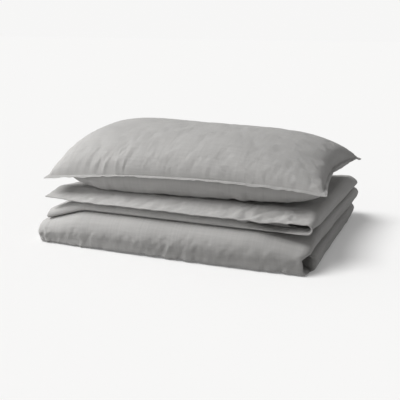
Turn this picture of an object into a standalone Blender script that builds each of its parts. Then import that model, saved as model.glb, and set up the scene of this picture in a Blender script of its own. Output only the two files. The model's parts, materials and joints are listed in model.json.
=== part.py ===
"""A folded duvet in its buttoned cover, a folded bed sheet lying on it, and a pillow in its case on top.

Every sewn article is built in layers, as it is made. Filling lies between two panels of ticking, and that
lies between the two panels of the cover. All layers of an article share one grid of lines, so each layer
keeps its clearance to the next however the article is bent.
"""

import math

import bmesh
import bpy
from mathutils import Vector

# Duvet: one thick quilt, folded once over a bend along its front edge.
DUVET_WIDTH = 0.765
DUVET_DEPTH = 0.600
DUVET_HALF_THICKNESS = 0.048
FOLD_GAP = 0.004
DUVET_LOWER_FRONT_SQUARENESS = 6.0
DUVET_UPPER_HALF_SKEW = 0.018
DUVET_SHOULDER_START = -0.255
DUVET_SHOULDER_SLOPE = 0.33
DUVET_COVER_CLOTH = 0.0010
DUVET_TICKING_CLOTH = 0.0008

# Closure of the duvet cover, on the back end of the upper half.
BUTTON_COUNT = 4
BUTTON_DIAMETER = 0.018
BUTTON_THICKNESS = 0.0032
BUTTON_HOLE_DIAMETER = 0.0022
BUTTON_HOLE_SPACING = 0.0046
BUTTON_RIM = 0.0006
PLACKET_CLOTH = 0.0012
PLACKET_END_MARGIN = 0.045
PLACKET_FACET_ANGLE = math.radians(20)

# Bed sheet: folded in quarters and then double over its right side, its hems at the front.
SHEET_WIDTH = 0.753
SHEET_THICKNESS = 0.046
SHEET_OFFSET = Vector((0.019, -0.0075, 0))
SHEET_HEIGHT_SHARES = ((-0.2775, 0.62), (-0.19, 1.0), (0.14, 1.0), (0.2775, 0.75))
SHEET_CLOTH = 0.0015
SHEET_HEM_DEPTH = 0.035
SHEET_HEM_CLOTH = 0.0008
PLY_COUNT = 4
PLY_GAP = 0.0012
PLY_SIDE_MARGIN = 0.012
PLY_FRONT_MARGIN = 0.045
PLY_BACK_MARGIN = 0.012

# Pillow: 50 by 80 cm when flat, shorter once it is filled.
PILLOW_LENGTH = 0.777
PILLOW_DEPTH = 0.470
PILLOW_OFFSET = Vector((0.021, -0.020, 0))
PILLOW_YAW = math.radians(1.0)
PILLOW_RISE = 0.089
PILLOW_DROP = 0.070
PILLOW_SIDE_PULL = 0.020
PILLOW_FLANGE = 0.010
PILLOW_SEAM_CROWN = 0.016
PILLOW_CORNER_HEIGHTS = {(-1, -1): 0.034, (1, -1): 0.047, (1, 1): 0.054, (-1, 1): 0.045}
PILLOWCASE_CLOTH = 0.0010
PILLOW_TICKING_CLOTH = 0.0008
TUCK_FLAP_CLOTH = 0.0008

# Clearances.
SEAM_GAP = 0.0006
LAYER_GAP = 0.0009
REST_GAP = 0.0003
SHEET_LAYER_GAP = REST_GAP / min(share for _, share in SHEET_HEIGHT_SHARES)

# Values that follow from the sizes above.
DUVET_EDGE_RADIUS = DUVET_HALF_THICKNESS / 2
DUVET_HEIGHT = 2 * DUVET_HALF_THICKNESS + FOLD_GAP
BEND_RADIUS = DUVET_HALF_THICKNESS / 2 + FOLD_GAP / 2
SHEET_FLOOR = DUVET_HEIGHT + REST_GAP
PILLOW_FLOOR = SHEET_FLOOR + SHEET_THICKNESS + REST_GAP
PLACKET_REACH = REST_GAP + PLACKET_CLOTH
BUTTON_REACH = PLACKET_REACH + REST_GAP + BUTTON_THICKNESS

# Fineness of the grids. The shares run from the middle to the edge of one half.
SHARP_ANGLE = math.radians(50)
PILLOW_SHARES_ALONG = (0, 0.30, 0.56, 0.75, 0.86, 0.92, 0.955)
PILLOW_SHARES_ACROSS = (0, 0.34, 0.60, 0.77, 0.87, 0.925)
PILLOW_MOUTH_LINE = 2
TUCK_FLAP_COLUMNS = 4
ROUND_EDGE_STEPS = 3
STRAIGHT_STEPS = 4
BEND_STEPS = 8
FOLD_STEPS = 6
PLY_TURN_STEPS = 4
BUTTON_SIDES = 20
BUTTON_HOLE_SIDES = 8


def cloth(name, colour, roughness):
    """A Principled material of one colour, made once."""
    material = bpy.data.materials.get(name)
    if material:
        return material
    material = bpy.data.materials.new(name)
    material.use_nodes = True
    shader = material.node_tree.nodes["Principled BSDF"]
    shader.inputs["Base Color"].default_value = (*colour, 1)
    shader.inputs["Roughness"].default_value = roughness
    shader.inputs["Metallic"].default_value = 0
    material.diffuse_color = (*colour, 1)
    return material


def cover_cotton():
    return cloth("cover_cotton", (0.40, 0.395, 0.385), 0.85)


def inner_cotton():
    return cloth("inner_cotton", (0.80, 0.79, 0.76), 0.85)


def fibre_filling():
    return cloth("fibre_filling", (0.88, 0.87, 0.84), 0.95)


def button_shell():
    return cloth("button_shell", (0.36, 0.35, 0.34), 0.40)


def finish(name, mesh, material, parent, smooth=True):
    """Turns a bmesh into a named object under its article's empty."""
    bmesh.ops.recalc_face_normals(mesh, faces=mesh.faces[:])
    data = bpy.data.meshes.new(name)
    mesh.to_mesh(data)
    mesh.free()
    data.materials.append(material)
    if smooth:
        data.shade_smooth()
        data.set_sharp_from_angle(angle=SHARP_ANGLE)
    piece = bpy.data.objects.new(name, data)
    bpy.context.scene.collection.objects.link(piece)
    piece.parent = parent
    return piece


def soft_solid(name, lines, place, material, parent):
    """A closed solid over a grid of lines (along, across).

    place(a, b, face, on_border) gives the point for a pair of lines, on the under face (-1) or the upper (+1).
    The grid's diagonals are fixed, so that layers over the same lines stay parallel.
    """
    along, across = lines
    columns, rows = len(along) - 1, len(across) - 1
    mesh = bmesh.new()
    bmesh.ops.create_grid(mesh, x_segments=columns, y_segments=rows, size=1)
    bmesh.ops.triangulate(mesh, faces=mesh.faces[:], quad_method="FIXED")
    under = mesh.verts[:]
    made = bmesh.ops.extrude_face_region(mesh, geom=mesh.faces[:])
    upper = [part for part in made["geom"] if isinstance(part, bmesh.types.BMVert)]
    for face, vertices in ((-1, under), (1, upper)):
        for vertex in vertices:
            column = round((vertex.co.x + 1) / 2 * columns)
            row = round((vertex.co.y + 1) / 2 * rows)
            on_border = column in (0, columns) or row in (0, rows)
            vertex.co = place(along[column], across[row], face, on_border)
    return finish(name, mesh, material, parent)


def inside(lines, rings):
    """The same grid without its outermost rings of lines."""
    return tuple(values[rings:-rings] for values in lines)


def panel(name, lines, side, depth, thickness, article, material, parent):
    """One sheet of a sewn article: side +1 lies over its seam, -1 under it, and its border is the seam.

    depth is how far its inner face lies inside the cover's inner face.
    """
    point, bulge = article

    def place(a, b, face, on_border):
        inner = SEAM_GAP / 2 + (0 if on_border else bulge(a, b, side) - depth)
        return point(a, b, side * (inner + (thickness if face == side else 0)))

    return soft_solid(name, lines, place, material, parent)


def filling(name, lines, depths, article, material, parent):
    """The stuffing between an article's two panels of ticking; depths are its clearances under and over."""
    point, bulge = article

    def place(a, b, face, on_border):
        return point(a, b, face * (SEAM_GAP / 2 + bulge(a, b, face) - depths[face]))

    return soft_solid(name, lines, place, material, parent)


def mirrored(shares):
    """Grid lines from -1 to 1, from the shares of one half."""
    return [-share for share in reversed(shares) if share] + list(shares)


def spread(start, end, steps):
    """Evenly spaced values from start to end, both included."""
    return [start + (end - start) * step / steps for step in range(steps + 1)]


# Duvet


def duvet_path_lengths():
    """Where the straight lower half, the bend and the straight upper half end, along the folded centreline."""
    straight = DUVET_DEPTH - DUVET_HEIGHT / 2
    bend = math.pi * BEND_RADIUS
    return straight, straight + bend, 2 * straight + bend


def bend_squareness(angle):
    """How much further out the bend lies than a circle: its own weight flattens its lower quarter."""
    if angle >= math.pi / 2:
        return 1
    power = DUVET_LOWER_FRONT_SQUARENESS
    return (math.sin(angle) ** power + math.cos(angle) ** power) ** (-1 / power)


def shoulder_drop(x):
    """How far the duvet's top has sunk towards its left end."""
    return DUVET_SHOULDER_SLOPE * max(DUVET_SHOULDER_START - x, 0)


def duvet_point(run, x, height):
    """The point at a distance run along the folded centreline, from the lower back end to the upper one.

    height is measured outwards from the centreline: down, forwards round the bend, then up.
    """
    lower, bent, _ = duvet_path_lengths()
    centre_y, centre_z = -DUVET_DEPTH / 2 + DUVET_HEIGHT / 2, DUVET_HEIGHT / 2
    angle = min(max((run - lower) / BEND_RADIUS, 0), math.pi)
    upper_straight = max(run - bent, 0)
    straight = max(lower - run, 0) + upper_straight
    reach = (BEND_RADIUS + height) * bend_squareness(angle)
    skew = DUVET_UPPER_HALF_SKEW * upper_straight / lower
    z = centre_z - reach * math.cos(angle)
    z -= shoulder_drop(x) * z / DUVET_HEIGHT
    return Vector((x + skew, centre_y + straight - reach * math.sin(angle), z))


def rounded(distance_to_edge, radius):
    """0 at an edge and 1 from one radius in, following a quarter circle."""
    share = min(max(distance_to_edge / radius, 0), 1)
    return math.sqrt(1 - (1 - share) ** 2)


def duvet_bulge(run, x, side):
    """How far the cover's inner face stands off the centreline."""
    full = DUVET_HALF_THICKNESS / 2 - SEAM_GAP / 2 - DUVET_COVER_CLOTH
    end = duvet_path_lengths()[2]
    return (
        full
        * rounded(DUVET_WIDTH / 2 - abs(x), DUVET_EDGE_RADIUS)
        * rounded(min(run, end - run), DUVET_EDGE_RADIUS)
    )


def round_edge_offsets():
    """Distances from an edge to the lines that round it, by equal angles."""
    angles = spread(0, math.pi / 2, ROUND_EDGE_STEPS)
    return [DUVET_EDGE_RADIUS * (1 - math.cos(angle)) for angle in angles]


def duvet_lines():
    lower, bent, end = duvet_path_lengths()
    edge = round_edge_offsets()
    run = (
        edge
        + spread(edge[-1], lower, STRAIGHT_STEPS)[1:]
        + spread(lower, bent, BEND_STEPS)[1:]
        + spread(bent, end - edge[-1], STRAIGHT_STEPS)[1:]
        + [end - offset for offset in reversed(edge[:-1])]
    )
    half = DUVET_WIDTH / 2
    side = [half - offset for offset in reversed(edge)]
    across = [-x for x in reversed(side)] + [DUVET_SHOULDER_START, -half / 3, half / 3] + side
    return run, across


def build_duvet(parent):
    lines, article = duvet_lines(), (duvet_point, duvet_bulge)
    cover = cover_cotton()
    panel("duvet_cover_face", lines, 1, 0, DUVET_COVER_CLOTH, article, cover, parent)
    panel("duvet_cover_reverse", lines, -1, 0, DUVET_COVER_CLOTH, article, cover, parent)
    lining = (inside(lines, 1), DUVET_TICKING_CLOTH, LAYER_GAP + DUVET_TICKING_CLOTH)
    for name, side in (("duvet_ticking_outer", 1), ("duvet_ticking_inner", -1)):
        panel(name, lining[0], side, lining[2], lining[1], article, inner_cotton(), parent)
    depth = lining[2] + LAYER_GAP
    filling("duvet_filling", inside(lines, 2), {1: depth, -1: depth}, article, fibre_filling(), parent)


def build_placket(parent):
    """The buttoned strip that closes the cover's mouth, round the back end of the upper half."""
    centre_y = DUVET_DEPTH / 2 - DUVET_EDGE_RADIUS
    centre_z = DUVET_HEIGHT / 2 + BEND_RADIUS
    half = DUVET_WIDTH / 2 - PLACKET_END_MARGIN
    angles = [facet * PLACKET_FACET_ANGLE for facet in (-2, -1, 1, 2)]
    # The widest facet faces back and touches the buttons, so its corners lie further out than its middle.
    corner = 1 / math.cos(PLACKET_FACET_ANGLE)
    radius = (DUVET_EDGE_RADIUS + REST_GAP) * corner

    def place(x, angle, face, on_border):
        # The under face of the grid is the one that lies on the cover.
        reach = radius + (PLACKET_CLOTH * corner if face == 1 else 0)
        z = centre_z + reach * math.sin(angle)
        z -= shoulder_drop(x) * z / DUVET_HEIGHT
        return Vector((x + DUVET_UPPER_HALF_SKEW, centre_y + reach * math.cos(angle), z))

    lines = ([-half, DUVET_SHOULDER_START, 0, half], angles)
    soft_solid("duvet_cover_placket", lines, place, cover_cotton(), parent)
    pitch = 2 * half / BUTTON_COUNT
    for number in range(BUTTON_COUNT):
        x = -half + (number + 0.5) * pitch
        z = centre_z * (1 - shoulder_drop(x) / DUVET_HEIGHT)
        build_button(f"duvet_cover_button_{number + 1}", x + DUVET_UPPER_HALF_SKEW, z, parent)


def cylinder(name, radius, length, sides, place, parent):
    """A cylinder along Y whose front face stands at place."""
    mesh = bmesh.new()
    bmesh.ops.create_cone(mesh, cap_ends=True, segments=sides, radius1=radius, radius2=radius, depth=length)
    for vertex in mesh.verts:
        vertex.co = Vector((vertex.co.x, vertex.co.z + length / 2, vertex.co.y)) + place
    return finish(name, mesh, button_shell(), parent, smooth=False)


def build_button(name, x, z, parent):
    """A flat button with four sewing holes, lying on the placket and facing back."""
    front = Vector((x, DUVET_DEPTH / 2 + PLACKET_REACH + REST_GAP, z))
    button = cylinder(name, BUTTON_DIAMETER / 2, BUTTON_THICKNESS, BUTTON_SIDES, front, parent)
    rim = button.modifiers.new("rim", "BEVEL")
    rim.width = BUTTON_RIM
    rim.segments = 1
    for corner in range(4):
        dx, dz = (-1) ** corner, (-1) ** (corner // 2)
        offset = Vector((dx, 0, dz)) * BUTTON_HOLE_SPACING / 2 - Vector((0, BUTTON_THICKNESS / 2, 0))
        radius, length = BUTTON_HOLE_DIAMETER / 2, 2 * BUTTON_THICKNESS
        hole = cylinder(f"{name}_hole_{corner + 1}", radius, length, BUTTON_HOLE_SIDES, front + offset, parent)
        hole.hide_render = True
        hole.display_type = "WIRE"
        cut = button.modifiers.new(f"hole_{corner + 1}", "BOOLEAN")
        cut.operation = "DIFFERENCE"
        cut.object = hole


# Bed sheet


def sheet_shoulder():
    """Where the sheet starts to sink on its left, measured from the sheet's own middle."""
    return DUVET_SHOULDER_START - SHEET_OFFSET.x


def height_share(y):
    """How much of its full height the folded sheet keeps: it is thinner at the front and the back."""
    for (start, low), (end, high) in zip(SHEET_HEIGHT_SHARES, SHEET_HEIGHT_SHARES[1:]):
        if y <= end:
            return low + (high - low) * (y - start) / (end - start)
    return SHEET_HEIGHT_SHARES[-1][1]


def settled(x, y, height):
    """A point of the sheet at a height over its flat underside: its lower ply follows the duvet's shoulder."""
    sunk = shoulder_drop(x + SHEET_OFFSET.x) * (1 - height / SHEET_THICKNESS)
    return Vector((x, y, SHEET_FLOOR + height * height_share(y) - sunk))


def build_folded_cloth(name, radius, thickness, rows, material, parent):
    """One cloth folded double over its right side; radius runs from the fold's axis to mid cloth."""
    left, right = -SHEET_WIDTH / 2, SHEET_WIDTH / 2 - SHEET_THICKNESS / 2
    flat = [left, sheet_shoulder(), 0, right]
    angles = spread(0, math.pi, FOLD_STEPS)
    lines = [(x, 0) for x in flat] + [(right, angle) for angle in angles[1:]] + [(x, math.pi) for x in flat[-2::-1]]

    def place(line, y, face, on_border):
        x, angle = line
        # The under face of the grid is the outer one.
        reach = radius - face * thickness / 2
        return settled(x + reach * math.sin(angle), y, SHEET_THICKNESS / 2 - reach * math.cos(angle))

    return soft_solid(name, (lines, rows), place, material, parent)


def build_plies(room, parent):
    """The rest of the sheet, folded to and fro inside; room is the height that its plies fill."""
    ply = (room - (PLY_COUNT - 1) * PLY_GAP) / PLY_COUNT
    radius = (ply + PLY_GAP) / 2
    left = -SHEET_WIDTH / 2 + PLY_SIDE_MARGIN + ply
    right = SHEET_WIDTH / 2 - SHEET_THICKNESS / 2 - ply
    lowest = (SHEET_THICKNESS - room) / 2 + ply / 2
    lines = []
    for number in range(PLY_COUNT):
        # Even plies run right and odd ones left, and each turns up into the next.
        stretch = (left, sheet_shoulder(), 0, right)
        lines += [(number, x, 0) for x in (stretch if number % 2 == 0 else reversed(stretch))]
        if number < PLY_COUNT - 1:
            lines += [(number, 0, angle) for angle in spread(0, math.pi, PLY_TURN_STEPS)[1:-1]]

    def place(line, y, face, on_border):
        number, x, angle = line
        direction = 1 if number % 2 == 0 else -1
        z = lowest + number * 2 * radius
        if not angle:
            return settled(x, y, z + direction * face * ply / 2)
        reach = radius - direction * face * ply / 2
        pivot = right if direction == 1 else left
        return settled(pivot + direction * reach * math.sin(angle), y, z + radius - reach * math.cos(angle))

    front, back = SHEET_HEIGHT_SHARES[0][0], SHEET_HEIGHT_SHARES[-1][0]
    rows = [front + PLY_FRONT_MARGIN, *(y for y, _ in SHEET_HEIGHT_SHARES[1:-1]), back - PLY_BACK_MARGIN]
    soft_solid("sheet_folded_plies", (lines, rows), place, cover_cotton(), parent)


def build_sheet(parent):
    """The two plies that show at the front, the hem turned in on each of them, and the plies within."""
    front, *further = [y for y, _ in SHEET_HEIGHT_SHARES]
    hem_rows = [front, front + SHEET_HEM_DEPTH]
    rows = hem_rows + further
    cloths = (
        ("sheet_outer_ply", SHEET_CLOTH, rows),
        ("sheet_outer_hem", SHEET_HEM_CLOTH, hem_rows),
        ("sheet_inner_hem", SHEET_HEM_CLOTH, hem_rows),
        ("sheet_inner_ply", SHEET_CLOTH, rows),
    )
    outside = SHEET_THICKNESS / 2
    for name, thickness, cloth_rows in cloths:
        build_folded_cloth(name, outside - thickness / 2, thickness, cloth_rows, cover_cotton(), parent)
        outside -= thickness + SHEET_LAYER_GAP
    build_plies(2 * (outside - SHEET_LAYER_GAP), parent)


# Pillow


def pillow_stitch_share(length):
    """Where the stitch line inside the flange runs, as a share of the half length."""
    return 1 - 2 * PILLOW_FLANGE / length


def pillow_seam_height(u, v):
    """Height of the seam over the pillow's underside: a patch between its four corners, crowned in the middle."""
    height = PILLOW_SEAM_CROWN * (1 - u * u * v * v)
    for (side_u, side_v), corner in PILLOW_CORNER_HEIGHTS.items():
        height += corner * (1 + side_u * u) * (1 + side_v * v) / 4
    return height


def pillow_plump(u, v):
    """How full the pillow is: 0 from the stitch line out, 1 in the middle."""
    along = min(abs(u) / pillow_stitch_share(PILLOW_LENGTH), 1)
    across = min(abs(v) / pillow_stitch_share(PILLOW_DEPTH), 1)
    return ((1 - along**5) * (1 - across**3.4)) ** 0.5


def pillow_bulge(u, v, side):
    """How far the case's inner face stands off the seam; underneath it is flat where it rests."""
    if side > 0:
        return PILLOW_RISE * pillow_plump(u, v)
    room = pillow_seam_height(u, v) - SEAM_GAP / 2 - PILLOWCASE_CLOTH
    return min(PILLOW_DROP * pillow_plump(u, v), room)


def pillow_point(u, v, height):
    """The filled case is drawn in between its corners, more at the ends than along the front."""
    x = u * (PILLOW_LENGTH / 2 - PILLOW_SIDE_PULL * (1 - v * v) * u * u)
    y = v * (PILLOW_DEPTH / 2 - PILLOW_SIDE_PULL / 2 * (1 - u * u) * v * v)
    return Vector((x, y, PILLOW_FLOOR + pillow_seam_height(u, v) + height))


def build_pillow(parent):
    along = mirrored((*PILLOW_SHARES_ALONG, pillow_stitch_share(PILLOW_LENGTH), 1))
    across = mirrored((*PILLOW_SHARES_ACROSS, pillow_stitch_share(PILLOW_DEPTH), 1))
    lines, article = (along, across), (pillow_point, pillow_bulge)
    cover, lining = cover_cotton(), inner_cotton()
    panel("pillowcase_upper_panel", lines, 1, 0, PILLOWCASE_CLOTH, article, cover, parent)
    panel("pillowcase_under_panel", lines, -1, 0, PILLOWCASE_CLOTH, article, cover, parent)
    # The flap turns in over the pillow from the case's mouth, at its left end.
    flap_end = PILLOW_MOUTH_LINE + TUCK_FLAP_COLUMNS + 1
    flap_lines = (along[PILLOW_MOUTH_LINE:flap_end], across[2:-2])
    flap_depth = LAYER_GAP + TUCK_FLAP_CLOTH

    def flap_place(u, v, face, on_border):
        outer = SEAM_GAP / 2 + pillow_bulge(u, v, -1) - LAYER_GAP
        return pillow_point(u, v, -(outer if face == -1 else outer - TUCK_FLAP_CLOTH))

    soft_solid("pillowcase_tuck_flap", flap_lines, flap_place, cover, parent)
    upper_depth = LAYER_GAP + PILLOW_TICKING_CLOTH
    under_depth = flap_depth + LAYER_GAP + PILLOW_TICKING_CLOTH
    ticking_lines = inside(lines, 3)
    for name, side, depth in (("pillow_ticking_upper", 1, upper_depth), ("pillow_ticking_under", -1, under_depth)):
        panel(name, ticking_lines, side, depth, PILLOW_TICKING_CLOTH, article, lining, parent)
    depths = {1: upper_depth + LAYER_GAP, -1: under_depth + LAYER_GAP}
    filling("pillow_filling", inside(lines, 4), depths, article, fibre_filling(), parent)


def article_empty(name, place=Vector(), yaw=0.0):
    empty = bpy.data.objects.new(name, None)
    bpy.context.scene.collection.objects.link(empty)
    empty.location = place
    empty.rotation_euler.z = yaw
    return empty


def clear_scene():
    for thing in list(bpy.data.objects):
        bpy.data.objects.remove(thing)


def main():
    """Builds the stack with its origin under the middle of its outline, on the surface it lies on."""
    clear_scene()
    corner_reach = PILLOW_LENGTH / 2 * math.cos(PILLOW_YAW) + PILLOW_DEPTH / 2 * math.sin(PILLOW_YAW)
    middle_x = (PILLOW_OFFSET.x + corner_reach - DUVET_WIDTH / 2) / 2
    middle_y = BUTTON_REACH / 2
    centred = Vector((-middle_x, -middle_y, 0))
    duvet = article_empty("duvet", centred)
    build_duvet(duvet)
    build_placket(duvet)
    build_sheet(article_empty("sheet", centred + SHEET_OFFSET))
    build_pillow(article_empty("pillow", centred + PILLOW_OFFSET, PILLOW_YAW))


main()
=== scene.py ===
# %% [markdown]
# # A folded duvet, a folded sheet and a pillow
#
# Three articles of one bed set lie on a pale floor: a thick duvet folded inside its cover, a bed sheet folded
# into a flat packet, and a pillow in its case. Each one is made here as fine cloth around the plain solids of the
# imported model. That model is loaded first, because every place and size below is read from its boxes.

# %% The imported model
import json
import math

import bmesh
import bpy
import numpy as np
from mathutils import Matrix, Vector

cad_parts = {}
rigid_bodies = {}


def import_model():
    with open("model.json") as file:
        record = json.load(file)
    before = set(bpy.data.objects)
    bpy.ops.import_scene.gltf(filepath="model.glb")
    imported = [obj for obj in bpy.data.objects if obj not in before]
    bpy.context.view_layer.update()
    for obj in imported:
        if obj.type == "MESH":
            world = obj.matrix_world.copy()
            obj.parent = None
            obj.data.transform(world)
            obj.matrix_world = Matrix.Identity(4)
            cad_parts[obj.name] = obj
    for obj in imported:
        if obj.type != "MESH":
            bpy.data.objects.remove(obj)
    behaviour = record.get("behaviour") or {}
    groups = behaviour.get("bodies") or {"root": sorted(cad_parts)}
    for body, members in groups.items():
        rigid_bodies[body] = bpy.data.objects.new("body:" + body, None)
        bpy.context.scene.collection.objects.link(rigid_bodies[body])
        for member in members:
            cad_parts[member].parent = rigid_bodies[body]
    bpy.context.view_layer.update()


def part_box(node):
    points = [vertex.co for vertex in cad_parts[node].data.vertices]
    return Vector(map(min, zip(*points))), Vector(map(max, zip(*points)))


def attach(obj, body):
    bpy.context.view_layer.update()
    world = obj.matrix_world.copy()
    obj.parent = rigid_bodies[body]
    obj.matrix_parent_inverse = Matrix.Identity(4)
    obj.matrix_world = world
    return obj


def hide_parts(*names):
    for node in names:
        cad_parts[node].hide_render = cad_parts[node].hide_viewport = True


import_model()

# %% [markdown]
# ## Camera, floor and light
#
# The camera looks down at the front right corner through a lens a little longer than normal. The light is one
# high, broad source from the front left, so that the right-hand side lies in soft shade, and a weak even sky.
# The cloth is lit by an area lamp quite near it, so that its left end is brighter than its right one. A near
# lamp would leave the wide floor uneven, so the floor has a sun lamp of its own from the same side. A small fill
# lamp low on the left keeps the pillow's underside readable. Light linking says which lamp lights what: each
# lamp names a collection, which is filled at the end of the script.

# %% Camera
CAMERA_PLACE = (0.7103, -1.8615, 0.6188)
CAMERA_DOWN = math.radians(15.0)
CAMERA_TURN = math.radians(21.6)
LENS_MM = 63.0

camera = bpy.data.objects.new("camera", bpy.data.cameras.new("camera"))
camera.data.lens = LENS_MM
camera.data.sensor_width = 36.0
camera.location = CAMERA_PLACE
camera.rotation_euler = (math.pi / 2 - CAMERA_DOWN, 0, CAMERA_TURN)
bpy.context.scene.collection.objects.link(camera)
bpy.context.scene.camera = camera

# %% Light
SUN_STRENGTH = 2.68
SUN_SOFTNESS = math.radians(30)
SUN_FROM = (-0.34, -0.36, 0.86)
LAMP_PLACE = (-2.90, -0.78, 3.30)
LAMP_SIZE = 2.2
LAMP_POWER = 222.0
FILL_PLACE = (-1.10, -0.92, 0.42)
FILL_SIZE = 0.7
FILL_POWER = 6.0
SKY_STRENGTH = 0.33
BACKDROP_WHITE = (0.925, 0.922, 0.917)


def lamp(name, kind, place, towards):
    """A light at a place, its -Z axis towards a point."""
    light = bpy.data.objects.new(name, bpy.data.lights.new(name, kind))
    light.location = place
    light.rotation_euler = (Vector(place) - Vector(towards)).to_track_quat("Z", "Y").to_euler()
    bpy.context.scene.collection.objects.link(light)
    return light


sun = lamp("floor_light", "SUN", SUN_FROM, (0, 0, 0))
sun.data.energy = SUN_STRENGTH
sun.data.angle = SUN_SOFTNESS
window = lamp("window_light", "AREA", LAMP_PLACE, (0, 0, 0.15))
window.data.size = LAMP_SIZE
window.data.energy = LAMP_POWER
fill = lamp("fill_light", "AREA", FILL_PLACE, (-0.1, -0.2, 0.08))
fill.data.size = FILL_SIZE
fill.data.energy = FILL_POWER
lit_by_sun, lit_by_window = (bpy.data.collections.new(name) for name in ("lit_by_sun", "lit_by_window"))
sun.light_linking.receiver_collection = lit_by_sun
window.light_linking.receiver_collection = lit_by_window
fill.light_linking.receiver_collection = lit_by_window

world = bpy.data.worlds.new("studio")
bpy.context.scene.world = world
world.use_nodes = True
tree = world.node_tree
sky = tree.nodes["Background"]
sky.inputs["Color"].default_value = (*BACKDROP_WHITE, 1)
sky.inputs["Strength"].default_value = SKY_STRENGTH
backdrop = tree.nodes.new("ShaderNodeBackground")
backdrop.inputs["Color"].default_value = (*BACKDROP_WHITE, 1)
seen = tree.nodes.new("ShaderNodeLightPath")
choose = tree.nodes.new("ShaderNodeMixShader")
tree.links.new(seen.outputs["Is Camera Ray"], choose.inputs["Fac"])
tree.links.new(sky.outputs[0], choose.inputs[1])
tree.links.new(backdrop.outputs[0], choose.inputs[2])
tree.links.new(choose.outputs[0], tree.nodes["World Output"].inputs["Surface"])
bpy.context.scene.view_settings.view_transform = "Standard"
print("light and camera are set")


# %% [markdown]
# ## Cloth as arrays
#
# Every piece of cloth below starts as a grid of points: one index runs along the cloth and the other across it.
# The grid is worked out for all its points at once with numpy and then handed to Blender as a mesh. Each grid
# also carries a UV map in metres of cloth, so that the weave follows every fold at its true size.

# %% Grids to meshes
def ease(x):
    """Rises smoothly from 0 at x = 0 to 1 at x = 1: three x squared less two x cubed."""
    x = np.clip(x, 0, 1)
    return x * x * (3 - 2 * x)


def noise(p, q, seed):
    """A smooth random field: random heights at whole-number points, blended between them by ease."""
    table = np.random.default_rng(seed).uniform(-1, 1, (64, 64))
    i, j = np.floor(p).astype(int), np.floor(q).astype(int)
    a, b = ease(p - i), ease(q - j)
    low = table[i % 64, j % 64] * (1 - a) + table[(i + 1) % 64, j % 64] * a
    high = table[i % 64, (j + 1) % 64] * (1 - a) + table[(i + 1) % 64, (j + 1) % 64] * a
    return low * (1 - b) + high * b


def creases(p, q, length, width, lean, seed, sharpness=3.0):
    """Soft folds running along p, leaning towards q: the noise field stretched to length by width, and then
    one less its size, raised to a power, so that each line where the field is zero becomes a ridge."""
    along = p * math.cos(lean) + q * math.sin(lean)
    across = q * math.cos(lean) - p * math.sin(lean)
    wander = 0.6 * width * noise(along / length * 1.7, across / length * 1.7, seed + 1)
    field = noise(along / length, (across + wander) / width, seed)
    return (1 - np.abs(field)) ** sharpness


def grid_faces(rows, columns, wrap_rows=False, wrap_columns=False):
    """Corner numbers of every square of a grid, with the last line joined to the first where it wraps."""
    number = np.arange(rows * columns).reshape(rows, columns)
    if wrap_rows:
        number = np.vstack([number, number[:1]])
    if wrap_columns:
        number = np.hstack([number, number[:, :1]])
    return np.stack([number[:-1, :-1], number[1:, :-1], number[1:, 1:], number[:-1, 1:]], -1).reshape(-1, 4)


def cloth_mesh(name, points, faces, uv, smooth=True, weld=1e-5):
    """An object from point, face and UV arrays, with doubled points welded and its faces turned outwards."""
    data = bpy.data.meshes.new(name)
    data.from_pydata(points.reshape(-1, 3).tolist(), [], faces.tolist())
    layer = data.uv_layers.new(name="cloth")
    corner = np.empty(len(data.loops), int)
    data.loops.foreach_get("vertex_index", corner)
    layer.data.foreach_set("uv", uv.reshape(-1, 2)[corner].astype(np.float32).ravel())
    if weld:
        mesh = bmesh.new()
        mesh.from_mesh(data)
        bmesh.ops.remove_doubles(mesh, verts=mesh.verts[:], dist=weld)
        bmesh.ops.recalc_face_normals(mesh, faces=mesh.faces[:])
        mesh.to_mesh(data)
        mesh.free()
    if smooth:
        data.shade_smooth()
    piece = bpy.data.objects.new(name, data)
    bpy.context.scene.collection.objects.link(piece)
    return piece


def lengths(points, axis):
    """Distance run along the grid's lines, from the first point of each line: the sum of the steps up to there."""
    step = np.linalg.norm(np.diff(points, axis=axis), axis=2)
    start = np.zeros_like(step[:1] if axis == 0 else step[:, :1])
    return np.concatenate([start, np.cumsum(step, axis=axis)], axis=axis)


# %% [markdown]
# ## The cloth finish
#
# All three articles are the same washed cotton: a plain weave of slightly uneven threads, warm mid grey, quite
# matt, with a faint bloom at grazing angles. The weave is drawn in the UV map. Its height is the higher of two
# sets of parallel threads that pass over and under each other, and long thin noise makes some threads thicker
# and a little darker, as slubs are. A wider noise fades the colour in soft clouds, as washing does.

# %% Cloth materials
def add(tree, kind, **values):
    """A node of one kind in a material's tree, with its properties set."""
    node = tree.nodes.new(kind)
    for key, value in values.items():
        setattr(node, key, value)
    return node


def math_node(tree, operation, a, b=None):
    """A Math node fed by sockets or plain numbers; gives its output socket."""
    node = add(tree, "ShaderNodeMath", operation=operation)
    for socket, value in zip(node.inputs, (a, b)):
        if value is None:
            continue
        if isinstance(value, (int, float)):
            socket.default_value = value
        else:
            tree.links.new(value, socket)
    return node.outputs[0]


def new_material(name, **finish):
    """A material whose Principled shader has the given sockets set, with _ for the spaces in their names."""
    material = bpy.data.materials.new(name)
    material.use_nodes = True
    shader = material.node_tree.nodes["Principled BSDF"]
    for socket, value in finish.items():
        shader.inputs[socket.replace("_", " ")].default_value = value
    return material, material.node_tree, shader


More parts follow.
